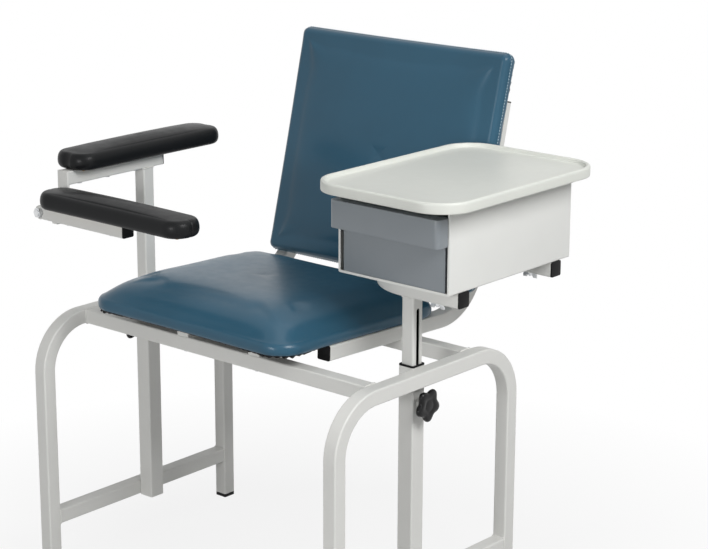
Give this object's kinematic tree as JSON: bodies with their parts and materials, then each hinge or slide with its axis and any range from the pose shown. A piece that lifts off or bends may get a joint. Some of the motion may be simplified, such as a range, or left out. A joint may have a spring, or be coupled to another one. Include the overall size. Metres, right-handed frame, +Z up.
{
  "type": "phlebotomy chair",
  "caption": "Blood-drawing chair with an upholstered seat and back, a height-adjustable tray with a drawer, and a height-adjustable arm rest with a flip-up cross arm.",
  "frame": {"origin": "centre of the bounding box, on the floor", "axes": "+Z up, -Y to the front of the chair, +X to the sitter's left"},
  "size_m": [0.996, 0.8324, 1.1206],
  "materials": {
    "frame_paint": "satin powder coat, off-white",
    "cabinet_paint": "smooth satin powder coat, off-white",
    "black_plastic": "matte moulded",
    "black_cover": "matte sheet",
    "gloss_black": "glossy moulded",
    "zinc_steel": "zinc plated",
    "plywood": "raw plywood",
    "teal_vinyl": "smooth soft-gloss vinyl, teal blue",
    "dark_vinyl": "smooth soft-gloss vinyl, near black",
    "tray_plastic": "matte moulded, warm white",
    "drawer_plastic": "satin moulded, blue grey"
  },
  "bodies": {
    "frame": {"side_frame_left": "frame_paint", "side_frame_right": "frame_paint", "side_stretcher_left": "frame_paint", "side_stretcher_right": "frame_paint", "front_cross_rail": "frame_paint", "rear_cross_rail": "frame_paint", "post_sleeve_left": "frame_paint", "post_sleeve_right": "frame_paint", "sleeve_collar_left": "black_plastic", "sleeve_collar_right": "black_plastic", "lock_stud_left": "zinc_steel", "lock_stud_right": "zinc_steel", "foot_tips_left": "black_plastic", "foot_tips_right": "black_plastic", "seat_spacers": "frame_paint", "seat_back_tube_left": "frame_paint", "seat_back_tube_right": "frame_paint", "tube_end_caps": "black_plastic", "seat_dust_cover": "black_cover", "seat_board": "plywood", "seat_cushion": "teal_vinyl", "seat_screws": "zinc_steel", "back_spacers": "black_plastic", "back_cover_panel": "black_cover", "back_board": "plywood", "back_cushion": "teal_vinyl", "back_screws": "zinc_steel"},
    "tray_unit": {"tray_post": "frame_paint", "tray_support_frame": "frame_paint", "support_end_caps": "black_plastic", "cabinet": "cabinet_paint", "drawer_runner_left": "zinc_steel", "drawer_runner_right": "zinc_steel", "tray_top": "tray_plastic", "tray_clips": "zinc_steel", "cabinet_bolts": "zinc_steel", "wing_nuts": "zinc_steel"},
    "drawer_body": {"drawer": "drawer_plastic"},
    "knob_left": {"lock_knob_left": "gloss_black"},
    "knob_right": {"lock_knob_right": "gloss_black"},
    "arm_unit": {"arm_post": "frame_paint", "side_arm_bar": "frame_paint", "side_arm_cap": "black_plastic", "side_pad_board": "plywood", "side_arm_pad": "dark_vinyl", "side_pad_screws": "zinc_steel", "hinge_bracket": "frame_paint", "hinge_pin": "zinc_steel", "hinge_nut": "zinc_steel"},
    "flip_arm": {"flip_arm_bar": "frame_paint", "flip_arm_cap": "black_plastic", "flip_pad_board": "plywood", "flip_arm_pad": "dark_vinyl", "flip_pad_screws": "zinc_steel"}
  },
  "joints": [
    {"name": "tray_height", "type": "slide", "parent": "frame", "child": "tray_unit", "axis": [0, 0, 1], "range_m": [-0.01, 0.1]},
    {"name": "drawer_slide", "type": "slide", "parent": "tray_unit", "child": "drawer_body", "axis": [0, -1, 0], "range_m": [0, 0.3]},
    {"name": "knob_left_turn", "type": "hinge", "parent": "frame", "child": "knob_left", "pos_m": [0.317, -0.08618, 0.489], "axis": [1, 0, 0], "range_deg": [-360, 360]},
    {"name": "knob_right_turn", "type": "hinge", "parent": "frame", "child": "knob_right", "pos_m": [-0.445, -0.08618, 0.489], "axis": [-1, 0, 0], "range_deg": [-360, 360]},
    {"name": "arm_height", "type": "slide", "parent": "frame", "child": "arm_unit", "axis": [0, 0, 1], "range_m": [-0.15, 0.03]},
    {"name": "cross_arm_hinge", "type": "hinge", "parent": "arm_unit", "child": "flip_arm", "pos_m": [-0.445, -0.37218, 0.81], "axis": [0, -1, 0], "range_deg": [0, 100]}
  ]
}
